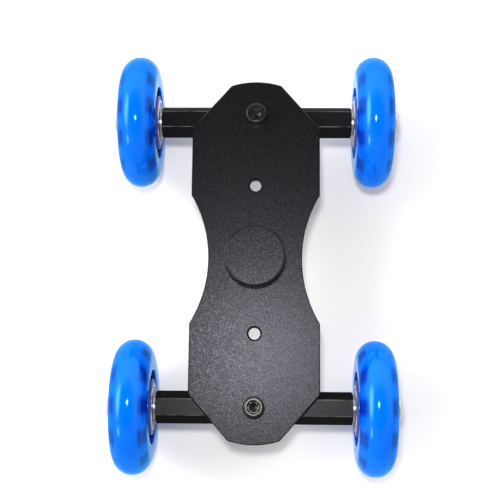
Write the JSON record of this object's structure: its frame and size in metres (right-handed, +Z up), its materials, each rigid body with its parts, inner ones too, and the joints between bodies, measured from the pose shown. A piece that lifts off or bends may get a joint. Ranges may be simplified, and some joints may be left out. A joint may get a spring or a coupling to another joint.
{
  "type": "tabletop camera dolly",
  "caption": "Flat waisted deck on steerable hexagonal axle bars with clear skate wheels, and a captive camera screw turned by a central knob.",
  "frame": {"origin": "on the floor, under the middle of the deck", "axes": "+X along the axles, +Y the way it rolls with the front axle ahead, +Z up"},
  "size_m": [0.1398, 0.2036, 0.064],
  "materials": {
    "deck_powder_coat": "sparkle powder coat",
    "knob_powder_coat": "sparkle powder coat",
    "stud_steel": "machined thread",
    "bar_anodised": "black anodised, satin",
    "black_oxide_steel": "black oxide",
    "washer_nylon": "matte",
    "tyre_urethane": "clear cast, gloss",
    "hub_plastic": "moulded, semi-gloss",
    "bearing_steel": "ground",
    "cage_nylon": "moulded",
    "shield_steel": "pressed",
    "spacer_aluminium": "turned",
    "zinc_steel": "bright zinc plate"
  },
  "bodies": {
    "deck": {"deck_plate": "deck_powder_coat"},
    "camera_screw": {"camera_knob": "knob_powder_coat", "camera_stud": "stud_steel"},
    "front_axle": {"front_axle_bar": "bar_anodised", "front_pivot_bolt": "black_oxide_steel", "front_pivot_washer": "washer_nylon", "front_left_inner_races": "bearing_steel", "front_left_spacer": "spacer_aluminium", "front_left_axle_washer": "zinc_steel", "front_left_axle_bolt": "zinc_steel", "front_right_inner_races": "bearing_steel", "front_right_spacer": "spacer_aluminium", "front_right_axle_washer": "zinc_steel", "front_right_axle_bolt": "zinc_steel"},
    "rear_axle": {"rear_axle_bar": "bar_anodised", "rear_pivot_bolt": "black_oxide_steel", "rear_pivot_washer": "washer_nylon", "rear_left_inner_races": "bearing_steel", "rear_left_spacer": "spacer_aluminium", "rear_left_axle_washer": "zinc_steel", "rear_left_axle_bolt": "zinc_steel", "rear_right_inner_races": "bearing_steel", "rear_right_spacer": "spacer_aluminium", "rear_right_axle_washer": "zinc_steel", "rear_right_axle_bolt": "zinc_steel"},
    "front_left_wheel": {"front_left_tyre": "tyre_urethane", "front_left_hub": "hub_plastic", "front_left_outer_races": "bearing_steel", "front_left_balls": "bearing_steel", "front_left_cages": "cage_nylon", "front_left_shields": "shield_steel"},
    "front_right_wheel": {"front_right_tyre": "tyre_urethane", "front_right_hub": "hub_plastic", "front_right_outer_races": "bearing_steel", "front_right_balls": "bearing_steel", "front_right_cages": "cage_nylon", "front_right_shields": "shield_steel"},
    "rear_left_wheel": {"rear_left_tyre": "tyre_urethane", "rear_left_hub": "hub_plastic", "rear_left_outer_races": "bearing_steel", "rear_left_balls": "bearing_steel", "rear_left_cages": "cage_nylon", "rear_left_shields": "shield_steel"},
    "rear_right_wheel": {"rear_right_tyre": "tyre_urethane", "rear_right_hub": "hub_plastic", "rear_right_outer_races": "bearing_steel", "rear_right_balls": "bearing_steel", "rear_right_cages": "cage_nylon", "rear_right_shields": "shield_steel"}
  },
  "joints": [
    {"name": "camera_screw_turn", "type": "hinge", "parent": "deck", "child": "camera_screw", "pos_m": [0, 0, 0.0435], "axis": [0, 0, 1], "continuous": true},
    {"name": "front_axle_steer", "type": "hinge", "parent": "deck", "child": "front_axle", "pos_m": [0, 0.06975, 0.0395], "axis": [0, 0, 1], "range_deg": [-30, 30]},
    {"name": "rear_axle_steer", "type": "hinge", "parent": "deck", "child": "rear_axle", "pos_m": [0, -0.06975, 0.0395], "axis": [0, 0, 1], "range_deg": [-30, 30]},
    {"name": "front_left_wheel_spin", "type": "hinge", "parent": "front_axle", "child": "front_left_wheel", "pos_m": [-0.057, 0.06975, 0.032], "axis": [1, 0, 0], "continuous": true},
    {"name": "front_right_wheel_spin", "type": "hinge", "parent": "front_axle", "child": "front_right_wheel", "pos_m": [0.057, 0.06975, 0.032], "axis": [1, 0, 0], "continuous": true},
    {"name": "rear_left_wheel_spin", "type": "hinge", "parent": "rear_axle", "child": "rear_left_wheel", "pos_m": [-0.057, -0.06975, 0.032], "axis": [1, 0, 0], "continuous": true},
    {"name": "rear_right_wheel_spin", "type": "hinge", "parent": "rear_axle", "child": "rear_right_wheel", "pos_m": [0.057, -0.06975, 0.032], "axis": [1, 0, 0], "continuous": true}
  ]
}
